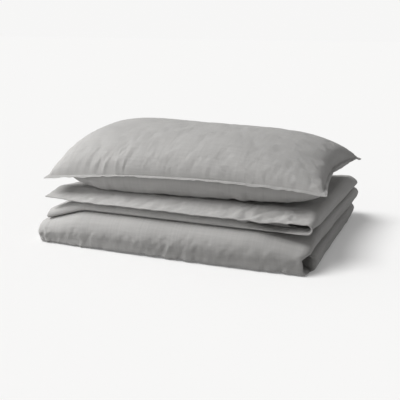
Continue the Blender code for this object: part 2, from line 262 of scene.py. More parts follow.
def woven(name, colour, thread, weave_depth, variation, crumple):
    """Woven cloth. Its height is the product of two sine waves, one thread wide, plus the slubs of both thread
    directions and a broader rumple; its colour strays from the given one by the share called variation, darker
    where the slubs and the clouds add up to less. The colour is linear, and lengths are in metres."""
    material, tree, shader = new_material(
        name, Roughness=0.9, Specular_IOR_Level=0.25, Sheen_Weight=0.25, Sheen_Roughness=0.55
    )
    cloth = add(tree, "ShaderNodeUVMap", uv_map="cloth").outputs[0]
    split = add(tree, "ShaderNodeSeparateXYZ")
    tree.links.new(cloth, split.inputs[0])
    u, v = split.outputs[0], split.outputs[1]

    def slubs(stretch_u, stretch_v, detail):
        """Noise drawn out along one thread direction."""
        mapping = add(tree, "ShaderNodeMapping")
        mapping.inputs["Scale"].default_value = (stretch_u, stretch_v, 1)
        tree.links.new(cloth, mapping.inputs["Vector"])
        field = add(tree, "ShaderNodeTexNoise")
        field.inputs["Scale"].default_value = 1.0
        field.inputs["Detail"].default_value = detail
        tree.links.new(mapping.outputs[0], field.inputs["Vector"])
        return field.outputs["Fac"]

    warp_slubs, weft_slubs = slubs(700, 14, 2.0), slubs(14, 700, 2.0)
    coarse_warp, coarse_weft = slubs(170, 7, 1.0), slubs(7, 170, 1.0)
    clouds = slubs(9, 9, 3.0)

    turn = math.pi / thread
    warp = math_node(tree, "SINE", math_node(tree, "MULTIPLY", u, turn))
    weft = math_node(tree, "SINE", math_node(tree, "MULTIPLY", v, turn))
    crossing = math_node(tree, "MULTIPLY", warp, weft)
    slub_height = math_node(tree, "ADD", warp_slubs, weft_slubs)
    height = math_node(tree, "ADD", math_node(tree, "MULTIPLY", crossing, 0.5), slub_height)
    height = math_node(tree, "ADD", height, math_node(tree, "MULTIPLY", slubs(55, 55, 2.0), crumple))
    bump = add(tree, "ShaderNodeBump")
    bump.inputs["Strength"].default_value = 1.0
    bump.inputs["Distance"].default_value = weave_depth
    tree.links.new(height, bump.inputs["Height"])
    tree.links.new(bump.outputs[0], shader.inputs["Normal"])

    threads = math_node(tree, "ADD", math_node(tree, "ADD", slub_height, coarse_warp), coarse_weft)
    shade = math_node(
        tree, "ADD", math_node(tree, "MULTIPLY", threads, 0.22), math_node(tree, "MULTIPLY", clouds, 0.22)
    )
    ramp = add(tree, "ShaderNodeValToRGB")
    ramp.color_ramp.elements[0].position = 0.36
    ramp.color_ramp.elements[1].position = 0.80
    ramp.color_ramp.elements[0].color = (*(c * (1 - variation) for c in colour), 1)
    ramp.color_ramp.elements[1].color = (*(min(c * (1 + variation), 1) for c in colour), 1)
    tree.links.new(shade, ramp.inputs["Fac"])
    tree.links.new(ramp.outputs["Color"], shader.inputs["Base Color"])
    return material


COVER_GREY = (0.405, 0.398, 0.388)
cover_cloth = woven("washed_cotton", COVER_GREY, thread=0.0007, weave_depth=0.00036, variation=0.14, crumple=0.9)
sheet_grey = tuple(c * 1.02 for c in COVER_GREY)
sheet_cloth = woven("sheet_cotton", sheet_grey, thread=0.0006, weave_depth=0.00025, variation=0.12, crumple=0.8)


def mottled(name, dark, light, scale, detail, **finish):
    """A finish whose colour runs between two close tones, by a fine noise in the piece's own space."""
    material, tree, shader = new_material(name, **finish)
    field = add(tree, "ShaderNodeTexNoise")
    field.inputs["Scale"].default_value = scale
    field.inputs["Detail"].default_value = detail
    tones = add(tree, "ShaderNodeValToRGB")
    tones.color_ramp.elements[0].color = (*dark, 1)
    tones.color_ramp.elements[1].color = (*light, 1)
    tree.links.new(add(tree, "ShaderNodeTexCoord").outputs["Object"], field.inputs["Vector"])
    tree.links.new(field.outputs["Fac"], tones.inputs["Fac"])
    tree.links.new(tones.outputs["Color"], shader.inputs["Base Color"])
    return material


thread_material = mottled(
    "sewing_thread", (0.33, 0.325, 0.315), (0.47, 0.465, 0.455), 2500.0, 2.0, Roughness=0.6, Sheen_Weight=0.2
)
print("materials:", cover_cloth.name, sheet_cloth.name, thread_material.name)


# %% [markdown]
# ## Sewing
#
# A row of machine stitches shows as short raised dashes with the cloth drawn down between them. Each dash is a
# small lozenge of eight faces, laid along a line and sunk a little into the cloth, because hundreds are needed.

# %% Stitches
def along_line(line, step):
    """Evenly spaced places along a polyline, and its direction at each, from a point a third of a step ahead."""
    run = np.concatenate([[0], np.cumsum(np.linalg.norm(np.diff(line, axis=0), axis=1))])
    count = max(int(run[-1] / step), 2)
    middle = (np.arange(count) + 0.5) * run[-1] / count
    places = np.stack([np.interp(middle, run, line[:, k]) for k in range(3)], 1)
    ahead = np.stack([np.interp(middle + step / 3, run, line[:, k]) for k in range(3)], 1)
    direction = ahead - places
    return places, direction / np.maximum(np.linalg.norm(direction, axis=1, keepdims=True), 1e-9)


def stitches(name, line, up, step=0.0032, dash=0.0023, width=0.0007, rise=0.0003):
    """Dashes along a line; up is the way the cloth faces there, one direction for all or one for each point."""
    places, direction = along_line(line, step)
    up = np.broadcast_to(up, line.shape)
    run = np.linspace(0, 1, len(line))
    up = np.stack([np.interp(np.linspace(0, 1, len(places)), run, up[:, k]) for k in range(3)], 1)
    side = np.cross(direction, up)
    side /= np.maximum(np.linalg.norm(side, axis=1, keepdims=True), 1e-9)
    up = np.cross(side, direction)
    # Six corners of a lozenge: its ends, its sides, its back and its foot.
    shape = np.array([[-0.5, 0, 0], [0.5, 0, 0], [0, -0.5, 0], [0, 0.5, 0], [0, 0, 1], [0, 0, -1]])
    points = (
        places[:, None]
        + shape[None, :, :1] * dash * direction[:, None]
        + shape[None, :, 1:2] * width * side[:, None]
        + shape[None, :, 2:] * rise * up[:, None]
    )
    corners = np.array([[0, 2, 4], [2, 1, 4], [1, 3, 4], [3, 0, 4], [2, 0, 5], [1, 2, 5], [3, 1, 5], [0, 3, 5]])
    faces = (corners[None] + 6 * np.arange(len(places))[:, None, None]).reshape(-1, 3)
    piece = cloth_mesh(name, points, faces, np.zeros((points.size // 3, 2)), smooth=False, weld=0)
    piece.data.materials.append(thread_material)
    return piece


# %% [markdown]
# ## Swept cloth
#
# The duvet and the sheet are both slabs that run along a path and turn back on themselves. Their cross-section
# is a long flat loop with round ends. The loop is written once, as distance across and share of the thickness,
# and each article says where such a point lies for a given distance along its path.

# %% Cross-sections
def slab_loop(width, radius, steps, round_steps):
    """A flat loop with half-circle ends: across runs from side to side, level is +1 on top and -1 beneath."""
    reach = width / 2 - radius
    top = np.linspace(-reach, reach, steps + 1)
    under = top[::-1]
    turn = np.linspace(0, np.pi, round_steps + 1)[1:-1]
    across = np.concatenate([top, reach + radius * np.sin(turn), under, -reach - radius * np.sin(turn)])
    level = np.concatenate([np.ones_like(top), np.cos(turn), -np.ones_like(under), -np.cos(turn)])
    return across, level


def end_closing(run, total, radius):
    """Share of the full thickness near a slab's two ends, where it closes in a quarter circle: the square root of
    one less the square of how far a point still is from the full thickness."""
    inward = np.clip(np.minimum(run, total - run) / radius, 0, 1)
    return np.sqrt(np.clip(1 - (1 - inward) ** 2, 0, 1))


def run_lines(stretches):
    """Distances along a path from (length, step) pairs, finer where the step is smaller."""
    lines, start = [np.zeros(1)], 0.0
    for length, step in stretches:
        count = max(int(round(length / step)), 1)
        lines.append(start + length * np.arange(1, count + 1) / count)
        start += length
    return np.concatenate(lines)


def close_ends(run, total, radius, steps):
    """Adds lines by equal angles over the last stretch at both ends, so that the closing looks round."""
    inner = run[(run > radius) & (run < total - radius)]
    turn = radius * (1 - np.cos(np.linspace(0, np.pi / 2, steps + 1)))
    return np.concatenate([turn, inner, total - turn[::-1]])


def swept(name, run, loop, place, material):
    """A closed cloth shell: place(run, across, level) gives the points for whole arrays at once. The UV map is
    the distance run and the distance round the loop, as measured half way along."""
    across, level = loop
    points = place(run[:, None], across[None, :], level[None, :])
    faces = grid_faces(len(run), len(across), wrap_columns=True)
    u = np.broadcast_to(run[:, None], points.shape[:2])
    closed = np.concatenate([points, points[:, :1]], 1)
    v = lengths(closed, 1)[:, :-1]
    v = np.broadcast_to(v[len(run) // 2][None, :], points.shape[:2])
    piece = cloth_mesh(name, points, faces, np.stack([u, v], -1))
    piece.data.materials.append(material)
    return piece


# %% [markdown]
# ## The duvet
#
# The quilt is folded over a bend along the front, so the front is one smooth wrapped face and the right-hand
# side shows two round rolls. Its own weight flattens the lower front edge. The left end sinks like a shoulder.
# The cover is a little too large for the quilt, so the wrapped face gathers in soft upright folds that lean to
# the right, strongest low down where the cloth is pushed against the floor.

# %% Sizes of the duvet
duvet_low, duvet_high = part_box("duvet_cover_face")
DUVET_WIDTH = 0.765
DUVET_FOLD_GAP = 0.004
duvet_left, duvet_front, duvet_back = duvet_low[0], duvet_low[1], duvet_high[1]
duvet_height = duvet_high[2]
duvet_half = (duvet_height - DUVET_FOLD_GAP) / 2
duvet_middle = duvet_left + DUVET_WIDTH / 2
bend_radius = duvet_height / 4
straight = duvet_back - duvet_front - duvet_height / 2
bend_length = math.pi * bend_radius
duvet_run = 2 * straight + bend_length
SHOULDER_START = duvet_middle - 0.255
SHOULDER_SLOPE = 0.33
UPPER_SKEW = duvet_high[0] - duvet_left - DUVET_WIDTH
print(f"duvet {DUVET_WIDTH:.3f} x {duvet_back - duvet_front:.3f} x {duvet_height:.3f} m, path {duvet_run:.2f} m")


# %% The duvet's shape
CORNER_DROP = 0.022      # how far the top sinks at the front right corner
FACE_SWELL = 0.008       # how far the wrapped face stands forward
FOOT_SETBACK = 0.004     # how far it draws back again at its foot
FACE_BOW = 0.010         # how much further back its ends lie than its middle
LIP_SETBACK = 0.010      # how far its right edge is set back beside the hollow
HOLLOW_DEPTH = 0.110     # how far the quilt is hollowed from its right end
HOLLOW_POCKET = 0.060    # how far that hollow runs on behind the lower half's end


def squareness(angle):
    """How much further out than a circle the bend lies, by the angle about its centre: a superellipse, nearly
    square at the foot (power 9) and nearly round above it (power 2.15)."""
    c, s = np.abs(np.cos(angle)), np.abs(np.sin(angle))
    low = ease((1.35 - angle) / 0.85)
    return (1 - low) * (c**2.15 + s**2.15) ** (-1 / 2.15) + low * (c**9 + s**9) ** (-1 / 9)


def shoulder(x):
    """How far the top has sunk towards the left end. Past the start it is the distance squared over the distance
    plus 3 cm, times the slope, so the slope starts softly."""
    past = np.maximum(SHOULDER_START + 0.02 - x, 0)
    return SHOULDER_SLOPE * (past**2 / (past + 0.03))


def front_corner_drop(x, y):
    """How far the top has sunk at the front right corner: it eases in over 15 cm from either side."""
    from_right = duvet_left + DUVET_WIDTH - x
    return CORNER_DROP * ease((0.15 - from_right) / 0.15) * ease((duvet_front + 0.15 - y) / 0.13)


def duvet_wrinkles(run, x, angle):
    """Height of the cloth over the smooth quilt. On the wrapped face it is a sum of noise fields: folds and
    ridges drawn out along upright lines that lean to the right, deeper low down and in a few clumps, less
    pinches near the foot, with fine and broad dents. The left end has upright folds, and the top faint hollows."""
    up = angle * duvet_height / 2
    on_front = ease((angle - 0.12) / 0.5) * ease((2.9 - angle) / 0.9)
    low = 0.15 + 0.85 * ease((2.15 - angle) / 1.0)
    leaned = x - 0.55 * up
    clumps = 0.25 + 0.75 * ease(0.55 + 0.9 * noise(x / 0.06, up / 0.09 + 3.7, 41))
    folds = noise(leaned / 0.0125, up / 0.032, 11) + 0.35 * noise(leaned / 0.0065, up / 0.022, 12)
    ridges = creases(up, leaned, 0.045, 0.016, 0.1, 23, 4.0) - 0.25
    pinches = creases(up, x, 0.03, 0.015, 0.5, 27, 5.0) * ease((1.35 - angle) / 0.7)
    fine = noise((x + 0.4 * up) / 0.011, up / 0.014, 24)
    broad = noise(x / 0.075, up / 0.09, 31)
    left_end = ease((duvet_left + 0.075 - x) / 0.05)
    front = (0.0006 + 0.0015 * clumps) * low * folds + 0.0010 * low * clumps * ridges
    front = front - 0.0010 * pinches * clumps + 0.0006 * low * fine + 0.0008 * broad
    upright = 0.0020 * noise(x / 0.009, up / 0.11, 57) + 0.0012 * noise(x / 0.0045, up / 0.05, 58)
    front = front + left_end * upright
    top = ease((angle - 2.4) / 0.6) * (0.0010 * noise(run / 0.07, x / 0.09, 61) - 0.0008)
    return on_front * front + top


def face_forward(across, angle):
    """How far back the wrapped face lies from the plain bend: less its swell, plus the setback of its foot, plus
    a bow that grows with the square of the distance from the middle."""
    swell = FOOT_SETBACK * ease((1.5 - angle) / 0.9) - FACE_SWELL * ease((2.9 - angle) / 1.5)
    bow = FACE_BOW * (across / (DUVET_WIDTH / 2)) ** 2 - 0.4 * FACE_BOW
    return swell + bow * ease(angle / 0.5) * ease((3.0 - angle) / 1.2)


def sideways(run, across, angle, upper):
    """How far right of the path's own line a point lies: the upper half leans over towards the back, the right
    side reaches out, most of all low down, and both edges waver."""
    lean = UPPER_SKEW * upper / straight
    right_side = ease((across - DUVET_WIDTH / 2 + 0.10) / 0.10)
    reach_out = right_side * (0.006 + 0.007 * ease((1.7 - angle) / 0.5))
    edge = ease((np.abs(across) - DUVET_WIDTH / 2 + 0.03) / 0.03) * np.sign(across)
    waver = 0.0030 * noise(run / 0.13, 0 * across + 3.3, 83) + 0.0010 * noise(run / 0.03, 0 * across, 84)
    return lean + reach_out + edge * waver


def lip_and_hollow(across, angle, level, share):
    """The open end of the bend at the front right, as how far right the lip stands and how open the hollow is,
    from 0 to 1. The lip is set back where share, the height over the duvet's, is below a half. The hollow
    lies between two angles and two levels, and its top is an arch."""
    front_face = ease((angle - 0.10) / 0.25) * ease((2.35 - angle) / 0.5)
    right_end = ease((across - DUVET_WIDTH / 2 + 0.060) / 0.055)
    beside = ease(angle / 0.12) * ease((share - 0.01) / 0.14) * ease((0.62 - share) / 0.20)
    lip = right_end * (0.001 * front_face - LIP_SETBACK * beside)
    arch = 2.02 - 0.45 * ease((level - 0.45) / 0.45)
    open_angle = ease((angle - 0.04) / 0.16) * ease((arch - angle) / 0.40)
    open_level = ease((0.90 - level) / 0.14) * ease((level + 0.95) / 0.4)
    return lip, ease((across - DUVET_WIDTH / 2 + 0.0235) / 0.010) * open_angle * open_level


def duvet_place(run, across, level):
    """Follows the folded path: straight along the floor, round the front and straight back on top. A point lies
    off the path's middle by half the quilt's thickness times its level. The powers of closing and level make the
    ends and sides blunter than half circles."""
    angle = np.clip((run - straight) / bend_radius, 0, math.pi)
    upper = np.maximum(run - straight - bend_length, 0)
    level_run = np.maximum(straight - run, 0) + upper
    x = duvet_middle + across
    closing = end_closing(run, duvet_run, duvet_half / 2) ** 0.6
    level = np.sign(level) * np.abs(level) ** 0.7
    cloth = duvet_wrinkles(run, x, angle) * closing * np.clip(level, 0, 1)
    reach = (bend_radius + level * duvet_half / 2 * closing + cloth) * squareness(angle)
    y = duvet_front + duvet_height / 2 + level_run - reach * np.sin(angle) + face_forward(across, angle)
    z = duvet_height / 2 - reach * np.cos(angle)
    # The rolls swell and pinch a little along the right and left sides, and the top sinks at two corners.
    side = np.clip((np.abs(across) - 0.30) / 0.08, 0, 1)
    swell = side * 0.0022 * noise(run / 0.11, across * 9, 71)
    z = z + swell * level * np.abs(np.cos(angle)) * (z > 0.02)
    z = z - shoulder(x) * z / duvet_height
    z = z - front_corner_drop(x, y) * (z / duvet_height) ** 2
    lip, hollow = lip_and_hollow(across, angle, level, z / duvet_height)
    streaks = 0.012 * noise(level * 5.5, angle * 1.1, 91)
    x = x + sideways(run, across, angle, upper) + lip - hollow * (HOLLOW_DEPTH + streaks)
    y = y + HOLLOW_POCKET * ease(hollow / 0.3) * ease((1.1 - angle) / 0.8)
    return np.stack(np.broadcast_arrays(x, y, z), -1)


# %% Making the duvet
run = run_lines([(straight, 0.018), (bend_length, 0.0016), (0.10, 0.0040), (straight - 0.10, 0.0075)])
run = close_ends(run, duvet_run, duvet_half / 2, 7)
loop = slab_loop(DUVET_WIDTH, duvet_half / 2, 190, 22)
duvet = swept("duvet_in_cover", run, loop, duvet_place, cover_cloth)
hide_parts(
    "duvet_cover_face",
    "duvet_cover_reverse",
    "duvet_ticking_outer",
    "duvet_ticking_inner",
    "duvet_filling",
)
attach(duvet, "duvet")
print("duvet faces:", len(duvet.data.polygons))


# %% The top of the duvet
def duvet_top(x, y):
    """Height of the duvet's smooth top under a point: a superellipse of power 2.5 over the front edge, less the
    sunk left end."""
    centre_y = duvet_front + duvet_height / 2
    forward = np.clip((centre_y - y) / (duvet_height / 2), 0, 1)
    rise = (1 - forward**2.5) ** (1 / 2.5)
    z = duvet_height / 2 * (1 + rise)
    return z - shoulder(x) * z / duvet_height


# %% [markdown]
# ## The closure of the cover
#
# The mouth of the cover is closed along the back of the upper half with a doubled strip, two rows of stitches
# and four sewn-through buttons. A button is turned: its profile is a dished disc with a raised rim, and its
# holes are pressed into the disc. Two crossed strands of thread hold it.

# %% The placket
placket_low, placket_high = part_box("duvet_cover_placket")
roll_centre_y = duvet_back - duvet_half / 2
roll_centre_z = duvet_height / 2 + bend_radius
PLACKET_CLOTH = 0.0012
PLACKET_ARC = 0.72


def placket_place(run, across, level):
    """A strip lying round the back roll: across is the angle about the roll times its radius."""
    radius = duvet_half / 2 + 0.0006 + PLACKET_CLOTH / 2
    angle = across / radius
    x = placket_low[0] + run
    pucker = 0.0003 * (1 + noise(x / 0.02, angle * 2, 101))
    reach = radius + level * PLACKET_CLOTH / 2 + pucker
    z = roll_centre_z + reach * np.sin(angle)
    z = z - shoulder(x - UPPER_SKEW) * z / duvet_height
    return np.stack(np.broadcast_arrays(x, roll_centre_y + reach * np.cos(angle), z), -1)


placket_length = placket_high[0] - placket_low[0]
placket_width = 2 * PLACKET_ARC * (duvet_half / 2)
placket = swept(
    "cover_placket",
    np.linspace(0, placket_length, 220),
    slab_loop(placket_width, PLACKET_CLOTH / 2, 14, 4),
    lambda run, across, level: placket_place(run, across, level * end_closing(run, placket_length, 0.001)),
    cover_cloth,
)
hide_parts("duvet_cover_placket")
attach(placket, "duvet")
for edge, name in ((-1, "lower"), (1, "upper")):
    across = edge * (placket_width / 2 - 0.003)
    line_run = np.linspace(0.004, placket_length - 0.004, 200)
    line = placket_place(line_run, np.full_like(line_run, across), np.ones_like(line_run))
    out = line - np.stack([line[:, 0], np.full(200, roll_centre_y), np.full(200, roll_centre_z)], 1)
    row = stitches(f"placket_stitches_{name}", line, out)
    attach(row, "duvet")
print(f"placket {placket_length:.3f} x {placket_width:.3f} m")

# %% The button's form
button_material = mottled(
    "button_shell", (0.27, 0.262, 0.25), (0.42, 0.41, 0.40), 220.0, 4.0, Roughness=0.32, Coat_Weight=0.3
)

# Radius as a share of the button's, and height as a share of its thickness, from the middle of its face round
# the rim to the middle of its back.
BUTTON_PROFILE = np.array(
    [[0.0, 0.55], [0.25, 0.55], [0.45, 0.56], [0.60, 0.62], [0.70, 0.86], [0.80, 0.98], [0.90, 1.0],
     [0.97, 0.85], [1.0, 0.6], [0.97, 0.35], [0.85, 0.12], [0.6, 0.02], [0.3, 0.0], [0.0, 0.0]]
)
BUTTON_HOLE_SPACING = 0.0046
BUTTON_HOLE_WIDTH = 0.0011


def button_shape(low, high):
    """The profile turned about the button's axis, with four round dips pressed into its face."""
    radius, thick = (high[0] - low[0]) / 2, high[1] - low[1]
    fine, coarse = np.linspace(0, 13, 53), np.arange(14)
    share, level = (np.interp(fine, coarse, BUTTON_PROFILE[:, k]) for k in (0, 1))
    turn = np.linspace(0, 2 * np.pi, 64, endpoint=False)
    x = radius * share[:, None] * np.cos(turn)
    z = radius * share[:, None] * np.sin(turn)
    away = np.hypot(np.abs(x) - BUTTON_HOLE_SPACING / 2, np.abs(z) - BUTTON_HOLE_SPACING / 2)
    dip = 0.5 * ease((BUTTON_HOLE_WIDTH - away) / 0.0004) * (level[:, None] > 0.5)
    y = low[1] + thick * np.clip(level[:, None] - dip, 0.02, 1)
    centre = (low + high) / 2
    return np.stack([centre[0] + x, y * np.ones_like(x), centre[2] + z], -1)


# %% Sewing on the buttons
def strand(start, end, lift, thickness=0.0004):
    """A tube from start to end, raised in the middle by a parabola, with eight points round it."""
    share = np.linspace(-1, 1, 9)[:, None]
    line = (start + end) / 2 + (end - start) / 2 * share + np.array((0, 1, 0)) * (lift + 0.0007 * (1 - share**2))
    around = np.linspace(0, 2 * np.pi, 8, endpoint=False)[:, None]
    side = np.cross(end - start, (0, 1, 0))
    side /= np.linalg.norm(side)
    tube = line[:, None] + thickness * (np.cos(around) * side + np.sin(around) * np.array((0, 1, 0)))
    tube[0], tube[-1] = tube[0].mean(0), tube[-1].mean(0)
    return tube


for number in range(1, 5):
    node = f"duvet_cover_button_{number}"
    low, high = (np.array(corner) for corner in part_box(node))
    points = button_shape(low, high)
    faces = grid_faces(*points.shape[:2], wrap_columns=True)
    button = cloth_mesh(f"cover_button_{number}", points, faces, np.zeros(points.shape[:2] + (2,)))
    button.data.materials.append(button_material)
    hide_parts(node)
    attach(button, "duvet")
    middle = (low + high) / 2
    middle[1] = high[1] - (high[1] - low[1]) * 0.42
    for k, lean in enumerate((-1, 1), start=1):
        arm = np.array((1, 0, lean)) * BUTTON_HOLE_SPACING / 2
        tube = strand(middle - arm, middle + arm, 0.0003 if lean > 0 else 0.0)
        rings = grid_faces(*tube.shape[:2], wrap_columns=True)
        thread = cloth_mesh(f"button_{number}_thread_{k}", tube, rings, np.zeros(tube.shape[:2] + (2,)))
        thread.data.materials.append(thread_material)
        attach(thread, "duvet")
print("four buttons sewn on")


# %% [markdown]
# ## The folded sheet
#
# The sheet is folded over its right-hand side, so its outer ply is one cloth that runs from the left, round the
# fold, and back over the top. It is open at the front, where its hem turns in. Between its two runs lie the
# rest of the plies: a thick turned edge below, with a row of hem stitches, and a thinner one above. The top ply
# rests on them like a loose leaf, and its left corner reaches out. The lower ply droops over the shoulder.

# %% Sizes of the sheet
sheet_low, sheet_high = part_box("sheet_outer_ply")
sheet_front, sheet_back = sheet_low[1], sheet_high[1]
sheet_left, sheet_right = sheet_low[0], sheet_high[0]
sheet_top = sheet_high[2]
SHEET_PLY = 0.0022
FOLD_REACH = 0.020
LOWER_TURN = 0.0195
UPPER_TURN = 0.0030


def sheet_floor(x, y):
    """Mid height of the lower ply: the duvet's top, plus a small clearance and half a ply. At the front right the
    fold curls up by a centimetre."""
    curl = 0.011 * ease((x - sheet_right + 0.12) / 0.11) * ease((sheet_front + 0.10 - y) / 0.09)
    return duvet_top(x, y) + 0.0012 + SHEET_PLY / 2 + curl


def sheet_crest(x, y):
    """Mid height of the top ply: highest under the pillow and eased down towards the front and the back, plus
    noise fields for its dents and creases. They are strongest where the ply is loose, at the open right-hand
    front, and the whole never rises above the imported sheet."""
    front = ease((y - sheet_front) / 0.085)
    back = ease((sheet_back - y) / 0.13)
    height = sheet_top - SHEET_PLY / 2 - 0.0205 * (1 - front) - 0.012 * (1 - back)
    right = ease((x - sheet_right + 0.26) / 0.16)
    open_front = 1 - ease((y - sheet_front - 0.01) / 0.10)
    leaned = x - 0.5 * (y - sheet_front)
    dents = (0.0020 + 0.0032 * right) * noise(leaned / 0.024, y / 0.030, 131)
    dents += (0.0011 + 0.0020 * right) * noise(leaned / 0.011 + 7, y / 0.014, 137)
    dents += (0.0005 + 0.0006 * right) * noise(x / 0.0055, y / 0.008, 138)
    dents += (0.0018 + 0.0036 * right) * (creases(y, leaned, 0.05, 0.022, 0.2, 139, 3.5) - 0.4)
    loose = (0.12 + 0.98 * open_front) * (0.45 + 0.55 * ease((y - sheet_front) / 0.02))
    far_side = 0.0018 * noise(x / 0.06, y / 0.08, 143) + 0.0012 * noise(x / 0.025, y / 0.05, 144)
    left = ease((sheet_left + 0.13 - x) / 0.13)
    wave = (0.0011 * noise(x / 0.065, 0 * y, 141) + 0.0003 * noise(x / 0.02, 0 * y, 142)) * (1 - front)
    height = height + dents * loose + (far_side - 0.0012) * (1 - open_front) + wave
    height = height - left * 0.007 * ease((y - sheet_front - 0.02) / 0.15)
    height = height + 0.0045 * ease((x - sheet_right + 0.11) / 0.05) * (1 - ease((y - sheet_front) / 0.05))
    return np.minimum(height + left * (1 - front) * 0.0035, sheet_top - SHEET_PLY / 2 - 0.0002)


def front_line(x):
    """Where the sheet's front edge runs: straight but for a slow waver of a few millimetres."""
    return sheet_front + 0.0018 * (1 + noise(x / 0.16, 0 * x, 151))


# %% The outer ply
fold_centre = sheet_right - FOLD_REACH
flat_run = fold_centre - sheet_left
turn_run = 0.055
outer_run = 2 * flat_run + turn_run
sheet_depth = sheet_back - sheet_front


def outer_place(run, across, level):
    """Along the bottom from left to right, round the fold as half an ellipse, and back over the top. The height is
    the middle between the floor and the crest, less half their distance times the cosine of the turn."""
    turn = np.clip((run - flat_run) / turn_run, 0, 1) * math.pi
    upper = np.maximum(run - flat_run - turn_run, 0)
    x = np.minimum(sheet_left + run, fold_centre) - upper
    share = (across + sheet_depth / 2) / sheet_depth
    # The lower run is drawn back under the turned edges, except at the fold.
    drawn_back = 0.016 * ease((1.2 - turn) / 1.2) * ease((fold_centre - 0.005 - x) / 0.11)
    front_edge = front_line(x) + drawn_back
    y = front_edge + share * (sheet_back - front_edge)
    low, high = sheet_floor(x, y), sheet_crest(x, y)
    middle, half = (low + high) / 2, (high - low) / 2
    towards_back = ease((y - sheet_front - 0.15) / 0.35)
    bulge = FOLD_REACH * (0.55 + 0.45 * ease((y - sheet_front) / 0.12)) + 0.0015 * noise(y / 0.09, 0 * y, 161)
    # Towards the back the fold leans outwards at its foot.
    bulge = bulge * (1 + 0.45 * towards_back * np.cos(turn)) + 0.006 * towards_back
    thick = SHEET_PLY / 2 * (1 + (0.55 + 0.8 * np.sin(turn)) * (1 - ease((y - sheet_front) / 0.008)))
    thick = thick * end_closing(run, outer_run, 0.0012)
    # The left ends of the plies: the upper one reaches out to a point at the front, the lower one hangs.
    reach_out = ease((sheet_left + 0.10 - x) / 0.10)
    x = x + bulge * np.sin(turn) + level * thick * np.sin(turn)
    x = x + np.where(upper > 0, reach_out * 0.018 * ease((y - sheet_front) / 0.20), 0)
    x = x + np.where((upper <= 0) & (turn <= 0), reach_out * 0.012 * ease((y - sheet_front) / 0.12), 0)
    z = middle - half * np.cos(turn) - level * thick * np.cos(turn)
    return np.stack(np.broadcast_arrays(x, y, z), -1)


run = run_lines([(flat_run, 0.0085), (turn_run, 0.0022), (flat_run, 0.0048)])
run = close_ends(run, outer_run, 0.0012, 4)
outer_ply = swept(
    "sheet_outer_cloth", run, slab_loop(sheet_depth, SHEET_PLY / 2, 140, 8), outer_place, sheet_cloth
)
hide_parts("sheet_outer_ply", "sheet_outer_hem")
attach(outer_ply, "sheet")
print(f"outer ply {outer_run:.3f} x {sheet_depth:.3f} m")


# %% The lower turned edge
def packed_place(bottom, thickness, left, right, front, back):
    """A thick soft layer with a round front edge. bottom(x, y) is its underside, thickness(x, y) its height, and
    front(x) its front edge. A point lies at the bottom plus half the thickness times one more than its level."""
    def place(run, across, level):
        """x is the left end plus run; y runs from front(x) to back by the share of the span lying before it."""
        x = left + run
        span = back - sheet_front
        share = (across + span / 2) / span
        y = front(x) + share * (back - front(x))
        low, thick = bottom(x, y), thickness(x, y)
        closed = thick * end_closing(run, right - left, 0.004)
        return np.stack(np.broadcast_arrays(x, y, low + thick / 2 + closed * level / 2), -1)
    return place


TURN_BACK = sheet_back - 0.004
lower_left, lower_right = sheet_left + 0.002, sheet_right - 0.072


def lower_bottom(x, y):
    """The lower ply's upper face, and at the front, where that ply is drawn back, just above the duvet."""
    over_edge = ease((sheet_front + 0.020 - y) / 0.006) * ease((lower_right - 0.03 - x) / 0.10)
    return sheet_floor(x, y) + SHEET_PLY / 2 + 0.0004 - over_edge * (SHEET_PLY + 0.0008)


def lower_thickness(x, y):
    """The share of LOWER_TURN that taper leaves, from all at the left, where the plies fan out, to almost nothing
    at the right, inside the fold; at most 84 percent of the room under the top ply."""
    room = sheet_crest(x, y) - sheet_floor(x, y) - SHEET_PLY - 0.0012
    taper = ease((lower_right - x) / 0.16)
    share = LOWER_TURN * (0.02 + 0.98 * taper)
    return np.minimum(share, np.maximum(room * 0.84, 0.003))


def lower_front(x):
    """The front line set back by 7 mm, but by only half a millimetre at the left end, where the plies fan out."""
    return front_line(x) + 0.0005 + 0.0065 * ease((x - sheet_left - 0.04) / 0.11)


turn_depth = TURN_BACK - sheet_front
lower_turn = swept(
    "sheet_lower_turn",
    close_ends(run_lines([(lower_right - lower_left, 0.005)]), lower_right - lower_left, 0.004, 5),
    slab_loop(turn_depth, LOWER_TURN / 2, 60, 12),
    packed_place(lower_bottom, lower_thickness, lower_left, lower_right, lower_front, TURN_BACK),
    sheet_cloth,
)
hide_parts("sheet_inner_ply", "sheet_inner_hem")
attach(lower_turn, "sheet")
print(f"lower turned edge {lower_right - lower_left:.3f} x {turn_depth:.3f} m")

# %% The upper turned edge
upper_left, upper_right = sheet_left + 0.055, sheet_right - 0.060


def upper_thickness(x, y):
    """UPPER_TURN, eased down to 15 percent at the right end and 25 percent at the left one."""
    return UPPER_TURN * (0.15 + 0.85 * ease((upper_right - x) / 0.14)) * (0.25 + 0.75 * ease((x - upper_left) / 0.09))


def upper_front(x):
    """The front line set back by 7.5 mm, so that the edge shows only as a thin shadowed line."""
    return front_line(x) + 0.0075


def upper_bottom(x, y):
    """Its own thickness below the top ply's underside."""
    return sheet_crest(x, y) - SHEET_PLY / 2 - 0.0004 - upper_thickness(x, y)


upper_turn = swept(
    "sheet_upper_turn",
    close_ends(run_lines([(upper_right - upper_left, 0.005)]), upper_right - upper_left, 0.004, 5),
    slab_loop(turn_depth, UPPER_TURN / 2, 60, 10),
    packed_place(upper_bottom, upper_thickness, upper_left, upper_right, upper_front, TURN_BACK),
    sheet_cloth,
)
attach(upper_turn, "sheet")
print(f"upper turned edge {upper_right - upper_left:.3f} x {turn_depth:.3f} m")

# %% The inner plies
FILLING_SETBACK = 0.024
filling_left, filling_right = sheet_left + 0.075, sheet_right - 0.050


